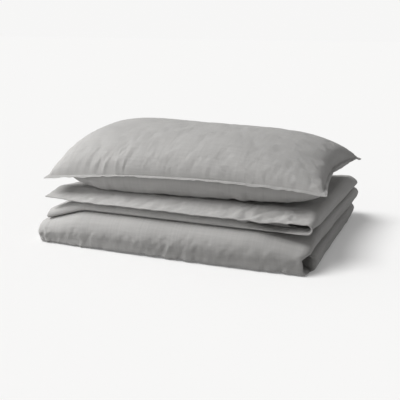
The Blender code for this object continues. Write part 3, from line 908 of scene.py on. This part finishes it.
def filling_bottom(x, y):
    """Just above the lower turned edge."""
    return lower_bottom(x, y) + lower_thickness(x, y) + 0.0004


def filling_thickness(x, y):
    """All the room between the two turned edges, times a taper that thins it out towards the fold."""
    room = upper_bottom(x, y) - filling_bottom(x, y) - 0.0004
    taper = 0.04 + 0.96 * ease((filling_right - x) / 0.085)
    return np.maximum(room * taper, 0.0008)


filling = swept(
    "sheet_folded_filling",
    close_ends(run_lines([(filling_right - filling_left, 0.008)]), filling_right - filling_left, 0.004, 4),
    slab_loop(sheet_back - sheet_front - FILLING_SETBACK, 0.006, 50, 10),
    packed_place(
        filling_bottom,
        filling_thickness,
        filling_left,
        filling_right,
        lambda x: front_line(x) + FILLING_SETBACK,
        sheet_back - 0.006,
    ),
    sheet_cloth,
)
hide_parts("sheet_folded_plies")
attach(filling, "sheet")
print("inner plies packed in")

# %% The hem stitches
x = np.linspace(lower_left + 0.01, lower_right - 0.08, 300)
y = lower_front(x)
z = lower_bottom(x, y) + lower_thickness(x, y) * 0.75
hem_row = stitches(
    "sheet_hem_stitches", np.stack([x, y + 0.0007, z], 1), np.array([0, -0.9, 0.43]), width=0.0008, rise=0.0005
)
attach(hem_row, "sheet")
x = np.linspace(sheet_left + 0.012, fold_centre, 300)
y = front_line(x) + 0.014
top_row = stitches(
    "sheet_top_hem_stitches", np.stack([x, y, sheet_crest(x, y) + SHEET_PLY / 2], 1), np.array([0, 0, 1.0])
)
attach(top_row, "sheet")
print("sheet made")


# %% [markdown]
# ## The pillow
#
# A pillowcase is two flat panels sewn together round three sides, so a filled one bulges in the middle, is
# drawn in along its sides, and keeps flat corners. The cloth next to the seams has nowhere to go and puckers.
# The base form below is a patch between the four corners with a dome over and under it. It is then inflated
# as real cloth, with its seam held and with a little too much cloth near the seam, and the puckers come by
# themselves. A cap on how far each point may move keeps the pillow in its place.

# %% Sizes of the pillow
case_low, case_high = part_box("pillowcase_upper_panel")
pillow_x, pillow_y = (case_low[0] + case_high[0]) / 2, (case_low[1] + case_high[1]) / 2
pillow_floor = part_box("pillowcase_under_panel")[0][2]
PILLOW_LENGTH = 0.777
PILLOW_DEPTH = 0.470
PILLOW_YAW = math.radians(1.0)
FLANGE = 0.007
PILLOW_RISE = 0.0856
PILLOW_DROP = 0.066
END_PULL = 0.022
FRONT_PULL = 0.009
SEAM_CROWN = 0.016
LEFT_CROWN = 0.008
CORNER_HEIGHTS = {(-1, -1): 0.034, (1, -1): 0.053, (1, 1): 0.055, (-1, 1): 0.064}
CORNER_REACH = {(-1, -1): -0.008, (1, -1): -0.001, (1, 1): 0.013, (-1, 1): -0.002}
seam_half_length, seam_half_depth = PILLOW_LENGTH / 2 - FLANGE, PILLOW_DEPTH / 2 - FLANGE


# %% The pillow's base form
def seam_height(u, v):
    """Height of the seam over the underside: a patch between four corners, crowned in the middle of each side."""
    height = SEAM_CROWN * (1 - u * u * v * v) + LEFT_CROWN * (1 - v * v) * ease(-u)
    for (side_u, side_v), corner in CORNER_HEIGHTS.items():
        height = height + corner * (1 + side_u * u) * (1 + side_v * v) / 4
    return height


def plumpness(u, v, side):
    """0 on the seam and 1 in the middle: the square root of one less u to a power, times one less v to a power.
    The left end is fuller than the right one, which slopes down more gently towards the front. The underside
    starts further in on the left and is steep along the front."""
    power = np.where(u < 0, 7.0, 2.1 + 2.2 * ease((v + 0.6) / 1.0))
    if side < 0:
        u = np.where(u < 0, u / (0.82 + 0.18 * ease((v + 0.6) / 0.6)), u)
        power = np.where(u < 0, 5.0, 4.0)
    ends = 1 - np.abs(np.clip(u, -1, 1)) ** power
    sides = 1 - np.abs(np.clip(v, -1, 1)) ** np.where((v < 0) & (side < 0), 9.0, 3.0)
    return np.sqrt(np.clip(ends * sides, 0, 1))


def pillow_flat_place(u, v):
    """Where a seam-plane point lies: the rectangle, with its sides drawn in between the corners in a parabola and
    its corners moved by their own reach, turned by the pillow's yaw."""
    end_pull = np.sign(u) * END_PULL * np.where(u < 0, 0.3, 1)
    x = u * seam_half_length - end_pull * (1 - np.minimum(v * v, 1)) * u * u
    for (side_u, side_v), reach in CORNER_REACH.items():
        near = np.clip(1 + side_u * u, 0, 2) * np.clip(1 + side_v * v, 0, 2) / 4
        x = x + reach * near**1.5
    y = v * seam_half_depth - np.sign(v) * FRONT_PULL * (1 - np.minimum(u * u, 1)) * v * v
    c, s = math.cos(PILLOW_YAW), math.sin(PILLOW_YAW)
    z = pillow_floor + seam_height(u, v)
    return np.stack(np.broadcast_arrays(pillow_x + c * x - s * y, pillow_y + s * x + c * y, z), -1)


def seam_gathers(u, v):
    """Folds that start at the seams and fade inwards. Their height is noise along the seam, drawn out across
    it, and some stretches of the seam are gathered more than others."""
    x, y = u * seam_half_length, v * seam_half_depth
    from_front, from_right = (v + 1) * seam_half_depth, (1 - u) * seam_half_length
    from_left, from_back = (u + 1) * seam_half_length, (1 - v) * seam_half_depth
    total = 0
    sides = (
        (from_front, x, 221, 0.45, 0.040),
        (from_back, x, 231, -0.30, 0.030),
        (from_right, y, 241, -0.35, 0.030),
        (from_left, y, 251, 0.30, 0.030),
    )
    for away, along, seed, lean, far in sides:
        placed = along - lean * away
        start = ease(away / 0.007)
        reach = far + 0.020 * noise(along / 0.05, 0 * along, seed + 1)
        fade = np.exp(-((away / reach) ** 2))
        much = 0.25 + 0.75 * ease(0.45 + 1.1 * noise(along / 0.085, 0 * along + 2, seed + 2))
        folds = noise(placed / 0.0115, away / 0.05, seed) + 0.4 * noise(placed / 0.0055, away / 0.03, seed + 3)
        total = total + 0.0016 * start * fade * much * folds
    # From the corners, longer folds run inwards along the diagonals.
    for side_u, side_v, seed in ((1, -1, 261), (1, 1, 263), (-1, -1, 265)):
        across_corner = (1 - side_u * u) * seam_half_length
        along_corner = (1 - side_v * v) * seam_half_depth
        far = np.hypot(across_corner, along_corner)
        turn = np.arctan2(along_corner, across_corner + 1e-6)
        total = total + 0.0013 * ease(far / 0.02) * np.exp(-((far / 0.10) ** 2)) * noise(turn * 8.5, far / 0.05, seed)
    return total


def pillow_side(u, v, side):
    """The upper (side 1) or the under (side -1) panel of the filled case: the seam plane raised or lowered by the
    plumpness times the pillow's rise or drop. The underside never goes below the sheet it lies on."""
    points = pillow_flat_place(u, v).copy()
    full = plumpness(u, v, side)
    if side > 0:
        crown = 1 + 0.035 * np.cos(2.2 * (u + 0.25)) - 0.03 * u
        bulge = PILLOW_RISE * full * crown
        bulge = bulge - 0.004 * full * ease(noise(u * 1.7 + 5, v * 1.3 + 2, 201) + 0.4)
        bulge = bulge + seam_gathers(u, v)
    else:
        room = points[..., 2] - pillow_floor - 0.0002
        full = full * (1 + 0.05 * noise(u * 16, v * 3, 271) + 0.03 * noise(u * 40, v * 4, 272))
        bulge = np.minimum(PILLOW_DROP * full, room)
    points[..., 2] += side * bulge
    return points


# %% The pillow's mesh
def spread_lines(steps):
    """Lines from -1 to 1, closer together towards both ends, where the seam's puckers are: four parts even lines
    and one part the sine of a quarter turn."""
    even = np.linspace(-1, 1, steps + 1)
    return 0.8 * even + 0.2 * np.sin(even * np.pi / 2)


u_lines, v_lines = spread_lines(128), spread_lines(80)
u, v = np.meshgrid(u_lines, v_lines, indexing="ij")
upper_points, under_points = pillow_side(u, v, 1), pillow_side(u, v, -1)
rows, columns = u.shape
upper_faces = grid_faces(rows, columns)
under_faces = grid_faces(rows, columns)[:, ::-1] + rows * columns
cloth_uv = np.stack([(u + 1) * seam_half_length, (v + 1) * seam_half_depth], -1)
pillow_points = np.concatenate([upper_points.reshape(-1, 3), under_points.reshape(-1, 3)])
pillow = cloth_mesh(
    "pillow_in_case",
    pillow_points,
    np.concatenate([upper_faces, under_faces]),
    np.concatenate([cloth_uv.reshape(-1, 2), cloth_uv.reshape(-1, 2) + (0, 1.0)]),
)
pillow.data.materials.append(cover_cloth)
print("pillow points:", len(pillow.data.vertices))


# %% Inflating a piece as cloth
def coordinates(mesh):
    """The mesh's points, one row each."""
    values = np.empty(len(mesh.vertices) * 3)
    mesh.vertices.foreach_get("co", values)
    return values.reshape(-1, 3)


def panel_place(mesh):
    """Each point's u and v in its panel, and whether it is on the upper one, read back from the UV map. The under
    panel's map lies one metre further along V."""
    corner = np.empty(len(mesh.loops), int)
    mesh.loops.foreach_get("vertex_index", corner)
    on_corners = np.empty(len(mesh.loops) * 2, np.float32)
    mesh.uv_layers["cloth"].data.foreach_get("uv", on_corners)
    on_points = np.zeros((len(mesh.vertices), 2))
    on_points[corner] = on_corners.reshape(-1, 2)
    upper = on_points[:, 1] < 0.99
    v = (on_points[:, 1] - np.where(upper, 0, 1.0)) / seam_half_depth - 1
    return on_points[:, 0] / seam_half_length - 1, v, upper


def group_weights(piece, name, weights):
    """A vertex group with one weight per point, set in steps of a tenth."""
    group = piece.vertex_groups.new(name=name)
    level = np.round(weights * 10).astype(int)
    for step in range(1, 11):
        group.add(np.flatnonzero(level == step).tolist(), step / 10, "REPLACE")
    return group


def inflate(piece, held, slack, slack_most, pressure, frames, cap, stiffness=12.0, bending=0.25):
    """Runs Blender's cloth on a closed piece. held is 1 where it may not move, slack_most the share of extra
    cloth where slack is 1. Afterwards a point has moved by its path times cap over (path + cap), so that no
    point moves further than cap."""
    start = coordinates(piece.data)
    group_weights(piece, "held", held)
    group_weights(piece, "slack", slack)
    cloth = piece.modifiers.new("cloth", "CLOTH")
    settings = cloth.settings
    settings.quality = 6
    settings.mass = 0.25
    settings.tension_stiffness = settings.compression_stiffness = stiffness
    settings.shear_stiffness = stiffness / 2
    settings.bending_stiffness = bending
    settings.use_pressure = True
    settings.uniform_pressure_force = pressure
    settings.vertex_group_mass = "held"
    settings.vertex_group_shrink = "slack"
    settings.shrink_min, settings.shrink_max = -0.004, -slack_most
    settings.effector_weights.gravity = 0
    settings.air_damping = 3.0
    cloth.point_cache.frame_start, cloth.point_cache.frame_end = 1, frames
    scene = bpy.context.scene
    for number in range(1, frames + 1):
        scene.frame_set(number)
    evaluated = piece.evaluated_get(bpy.context.evaluated_depsgraph_get())
    moved = coordinates(evaluated.data) - start
    piece.modifiers.remove(cloth)
    scene.frame_set(1)
    size = np.linalg.norm(moved, axis=1, keepdims=True)
    moved = moved * cap / (size + cap)
    piece.data.vertices.foreach_set("co", (start + moved).ravel())
    piece.data.update()
    print(f"{piece.name}: cloth moved {size.mean() * 1000:.1f} mm on average, {size.max() * 1000:.1f} mm at most")


# %% [markdown]
# ### Held points
#
# The seam is held, and so is the underside where it rests on the sheet. A case also catches on its filling here
# and there, and the cloth dimples between those spots. So about one point in eighty is pinned too, scattered
# over both panels: the points whose place changes in its sixth decimal when the mesh stores it as a short
# number, which is as good as a random draw.

# %% Inflating the pillow
place = coordinates(pillow.data)
point_u, point_v, is_upper = panel_place(pillow.data)
row_number = np.abs(point_u[:, None] - u_lines).argmin(1)
column_number = np.abs(point_v[:, None] - v_lines).argmin(1)
drawn = pillow_points[row_number * columns + column_number + np.where(is_upper, 0, u.size)]
pinned = (np.round(place, 6) != np.round(drawn, 6)).any(1)
edge_share = np.maximum(np.abs(u_lines[row_number]), np.abs(v_lines[column_number]))
edge_share = np.where(pinned, 1.0, edge_share)
resting = ~is_upper & (place[:, 2] < pillow_floor + 0.004)
held = np.where((edge_share > 0.9999) | resting, 1.0, 0.0)
slack = 0.03 + 0.97 * ease((edge_share - 0.76) / 0.24)
print(f"{pinned.sum()} of {len(place)} points pinned to the filling")
inflate(pillow, held, slack, 0.066, 1.8, 18, 0.012)
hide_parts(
    "pillow_filling",
    "pillow_ticking_upper",
    "pillow_ticking_under",
    "pillowcase_upper_panel",
    "pillowcase_under_panel",
    "pillowcase_tuck_flap",
)
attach(pillow, "pillow")

# %% [markdown]
# ### Fine puckers
#
# The simulated cloth is too coarse for the sharp little folds beside a seam. So the mesh is subdivided once, and
# then every point is moved along its normal by a height that depends on its place in the panel.

# %% Fine puckers
def fine_puckers(u, v, upper):
    """Sharp-crested folds across each seam. Height is one less the size of a noise field that changes fast along
    the seam and slowly across it, to a power; it fades away from the seam over a few centimetres."""
    x, y = u * seam_half_length, v * seam_half_depth
    left_cluster = np.exp(-(((x + 0.185) / 0.10) ** 2))
    middle_cluster = np.exp(-(((x - 0.01) / 0.035) ** 2))
    right_cluster = np.exp(-(((x - 0.24) / 0.10) ** 2))
    front_much = 0.25 + 0.85 * left_cluster + 0.7 * middle_cluster + 0.35 * right_cluster
    sides = (
        ((v + 1) * seam_half_depth, x, 301, 0.50, 0.0021 * front_much),
        ((1 - v) * seam_half_depth, x, 311, -0.30, 0.0012),
        ((1 - u) * seam_half_length, y, 321, -0.25, 0.0019),
        ((u + 1) * seam_half_length, y, 331, 0.30, 0.0011),
    )
    total = 0
    for away, along, seed, lean, tall in sides:
        placed = along - lean * away + 0.004 * noise(along / 0.02, away / 0.02, seed + 5)
        ridge = (1 - np.abs(noise(placed / 0.0105, away / 0.045, seed))) ** 3 - 0.3
        small = noise(placed / 0.005, away / 0.02, seed + 1)
        reach = 0.034 + 0.016 * noise(along / 0.035, 0 * along, seed + 2)
        much = 0.35 + 0.65 * ease(0.5 + noise(along / 0.04, 0 * along, seed + 3))
        total = total + tall * much * (ridge + 0.22 * small) * ease(away / 0.006) * np.exp(-((away / reach) ** 2))
    right_end = ease((x - 0.20) / 0.15)
    quiet = 0.0004 * noise(x / 0.03, y / 0.03, 341) + 0.00016 * noise(x / 0.009, y / 0.012, 342)
    slanting = (1 - np.abs(noise((x + 0.8 * y) / 0.011, (y - x) / 0.035, 343))) ** 3 - 0.3
    total = total + right_end * 0.0008 * slanting
    return np.where(upper, total + quiet, 0.55 * total + quiet)


# %% Laying the puckers on
finer = pillow.modifiers.new("finer", "SUBSURF")
finer.levels = finer.render_levels = 1
fine_mesh = bpy.data.meshes.new_from_object(pillow.evaluated_get(bpy.context.evaluated_depsgraph_get()))
pillow.modifiers.remove(finer)
pillow.data = fine_mesh
fine_u, fine_v, is_upper = panel_place(fine_mesh)
place = coordinates(fine_mesh)
normal = np.empty(len(fine_mesh.vertices) * 3, np.float32)
fine_mesh.vertices.foreach_get("normal", normal)
height = fine_puckers(fine_u, fine_v, is_upper) * ((place[:, 2] > pillow_floor + 0.004) | is_upper)
place = place + height[:, None] * normal.reshape(-1, 3)
place[:, 2] = np.maximum(place[:, 2], pillow_floor + 0.0002)
fine_mesh.vertices.foreach_set("co", place.ravel())
fine_mesh.update()
print("pillow faces:", len(fine_mesh.polygons))


# %% [markdown]
# ### The flange
#
# The case is turned right side out after sewing and then stitched again a finger's width inside its edge. That
# leaves a flat double border round the pillow. It is swept round the seam: each ring of points is the seam
# rectangle grown by a little, so the corners stay mitred, and its outer edge waves and droops a little.

# %% The flange
def ring_lines(steps):
    """The rectangle from corner to corner, as u and v between -1 and 1, evenly spaced."""
    long, short = steps
    a, b = np.linspace(-1, 1, long, endpoint=False), np.linspace(-1, 1, short, endpoint=False)
    u = np.concatenate([a, np.ones(short), -a, -np.ones(short)])
    v = np.concatenate([-np.ones(long), b, np.ones(long), -b])
    return u, v


ring_u, ring_v = ring_lines((260, 160))
# The border's section: how far each point lies outside the seam, in metres, and its share of the thickness.
outward = np.array([-0.002, 0.0, 0.003, 0.0055, 0.0072, 0.0078, 0.0080, 0.0078, 0.0072, 0.0055, 0.003, 0.0, -0.002])
level = np.array([0.2, 0.7, 1.0, 1.05, 1.0, 0.6, 0.0, -0.6, -1.0, -1.05, -1.0, -0.7, -0.2])
FLANGE_CLOTH = 0.0006
FLANGE_DROOP = 0.0026
grown_u = ring_u[:, None] * (1 + outward / seam_half_length)
grown_v = ring_v[:, None] * (1 + outward / seam_half_depth)
flange_points = pillow_flat_place(grown_u, grown_v).copy()
around = 2.5 * np.arange(len(ring_u))[:, None] / len(ring_u)
share_out = np.clip(outward / FLANGE, 0, 1)[None]
wave = 0.0020 * noise(around * 34, 0 * around, 211) + 0.0012 * noise(around * 90, 0 * around, 212)
flange_points[..., 2] += share_out * (wave - FLANGE_DROOP) + level[None] * FLANGE_CLOTH
flange_run = np.broadcast_to(np.arange(len(ring_u))[:, None] * 0.006, flange_points.shape[:2])
flange_uv = np.stack([flange_run, np.broadcast_to(outward[None], flange_points.shape[:2])], -1)
flange = cloth_mesh(
    "pillowcase_flange",
    flange_points,
    grid_faces(*flange_points.shape[:2], wrap_rows=True, wrap_columns=True),
    flange_uv,
)
flange.data.materials.append(cover_cloth)
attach(flange, "pillow")
print("flange points:", flange_points.shape[0] * flange_points.shape[1])

# %% The flange's stitches
TOP_OF_SEAM = 2          # the section's third point, on top of the cloth just outside the seam
stitch_line = np.vstack([flange_points[:, TOP_OF_SEAM], flange_points[:1, TOP_OF_SEAM]])
row = stitches("pillowcase_flange_stitches", stitch_line, np.array([0, 0, 1.0]), width=0.0008, rise=0.00035)
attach(row, "pillow")
print("stitches round the flange:", len(row.data.polygons) // 8)


# %% [markdown]
# ## The floor
#
# A plain pale floor, large enough to fill the view, so that only the stack and its shadow stand out. A studio
# floor is overexposed until its shadows are pale too, so here it glows a little when it is looked at. It sends
# less light back up at the cloth, which keeps the shade low on the stack's sides.

# %% The floor
FLOOR_HALF = 14.0
FLOOR_DROP = -0.0005     # a hair below the duvet, so that the two never share a plane
floor_corners = [(a * FLOOR_HALF, b * FLOOR_HALF, FLOOR_DROP) for a, b in ((-1, -1), (1, -1), (1, 1), (-1, 1))]
floor = bpy.data.objects.new("floor", bpy.data.meshes.new("floor"))
floor.data.from_pydata(floor_corners, [], [(0, 1, 2, 3)])
floor_material, floor_tree, floor_shader = new_material(
    "pale_floor", Roughness=1.0, Specular_IOR_Level=0.0, Emission_Color=(1, 0.997, 0.992, 1)
)
looked_at = add(floor_tree, "ShaderNodeLightPath").outputs["Is Camera Ray"]
floor_colour = add(floor_tree, "ShaderNodeMix", data_type="RGBA")
floor_colour.inputs["A"].default_value = (0.50, 0.50, 0.50, 1)
floor_colour.inputs["B"].default_value = (0.74, 0.738, 0.734, 1)
floor_tree.links.new(looked_at, floor_colour.inputs["Factor"])
floor_tree.links.new(floor_colour.outputs["Result"], floor_shader.inputs["Base Color"])
floor_tree.links.new(math_node(floor_tree, "MULTIPLY", looked_at, 0.16), floor_shader.inputs["Emission Strength"])
floor.data.materials.append(floor_material)
bpy.context.scene.collection.objects.link(floor)
print(f"floor {2 * FLOOR_HALF:.0f} m wide")

# %% Which lamp lights what
for thing in bpy.context.scene.objects:
    if thing.type == "MESH":
        (lit_by_sun if thing.name == floor.name else lit_by_window).objects.link(thing)
